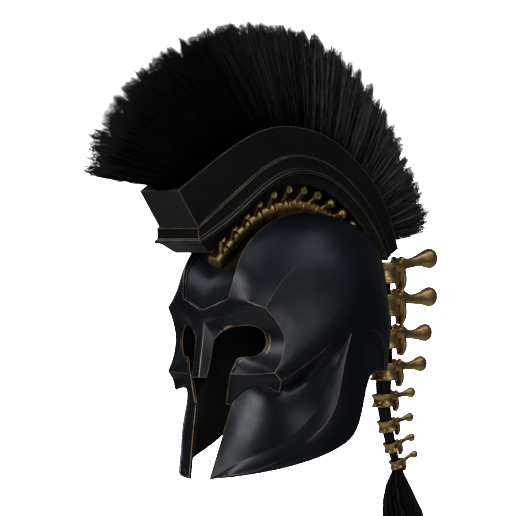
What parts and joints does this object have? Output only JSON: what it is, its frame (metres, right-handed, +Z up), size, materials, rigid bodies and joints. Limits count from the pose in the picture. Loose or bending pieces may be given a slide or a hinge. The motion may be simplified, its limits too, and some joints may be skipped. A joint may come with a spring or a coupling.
{
  "type": "greek bronze helmet",
  "caption": "Closed-cheek Greek helmet in dark patinated bronze, with a curved crest holder, a fanned horsehair brush and a chain of cast vertebrae down the back.",
  "frame": {"origin": "the seat of the wearer's head, on the inner face of the crown above the middle of the head", "axes": "+Z is up and along the longest extent, the face looks along -Y, and +X is the wearer's left"},
  "size_m": [0.2142, 0.5394, 0.6405],
  "materials": {
    "bowl_bronze": "dark blue-black patina over bronze, satin, worn to bare metal on the edges",
    "holder_bronze": "brown-black patina over bronze, satin",
    "antique_brass": "antique brass, polished on the high places and dark in the hollows",
    "horsehair": "black horsehair"
  },
  "bodies": {
    "root": {"helmet_shell": "bowl_bronze", "crest_holder": "holder_bronze", "crest_plume": "horsehair", "crown_vertebra_01": "antique_brass", "crown_vertebra_02": "antique_brass", "crown_vertebra_03": "antique_brass", "crown_vertebra_04": "antique_brass", "crown_vertebra_05": "antique_brass", "crown_vertebra_06": "antique_brass", "crown_vertebra_07": "antique_brass", "crown_vertebra_08": "antique_brass", "crown_vertebra_09": "antique_brass", "crown_vertebra_10": "antique_brass", "crown_vertebra_11": "antique_brass", "crown_vertebra_12": "antique_brass", "crown_vertebra_13": "antique_brass", "crown_vertebra_14": "antique_brass", "back_vertebra_01": "antique_brass", "back_vertebra_02": "antique_brass", "back_vertebra_03": "antique_brass", "back_vertebra_04": "antique_brass", "back_vertebra_05": "antique_brass", "back_vertebra_06": "antique_brass", "back_vertebra_07": "antique_brass", "back_vertebra_08": "antique_brass", "tail_core": "horsehair", "tail_tassel": "horsehair"}
  },
  "joints": []
}
